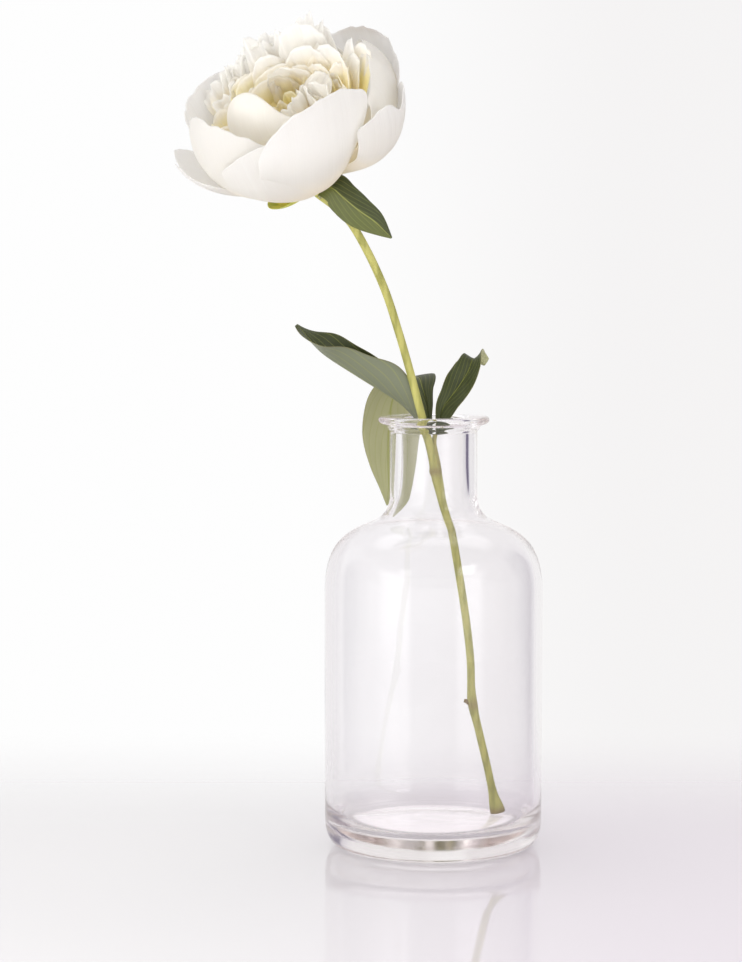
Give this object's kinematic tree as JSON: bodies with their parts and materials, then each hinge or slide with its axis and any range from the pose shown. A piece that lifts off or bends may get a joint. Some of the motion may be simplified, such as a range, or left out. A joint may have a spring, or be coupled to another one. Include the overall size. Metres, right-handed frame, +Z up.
{
  "type": "peony flower in a glass bottle vase",
  "caption": "Half-open white peony on a leafy stem, leaning in a clear wide bottle vase with a narrow neck and flared lip.",
  "frame": {"origin": "centre of the vase's flat underside, on the surface that it stands on", "axes": "+Z up along the vase's axis, -Y towards the side that the bloom faces, and the flower leans towards -X"},
  "size_m": [0.1688, 0.1556, 0.3842],
  "materials": {
    "clear_glass": "smooth clear glass",
    "green_stem": "plant stem, dull olive green",
    "white_petal": "soft plant petal, warm white",
    "cream_petal": "soft plant petal, cream to pale yellow in its depths",
    "calyx_green": "plant sepal, yellow green",
    "leaf_green": "plant leaf, dark green above and grey green below"
  },
  "bodies": {
    "root": {"vase": "clear_glass", "stem": "green_stem", "guard_petals": "white_petal", "inner_petals": "cream_petal", "calyx": "calyx_green", "leaf_upper": "leaf_green", "leaflet_right": "leaf_green", "leaflet_left": "leaf_green", "leaflet_back": "leaf_green"}
  },
  "joints": []
}
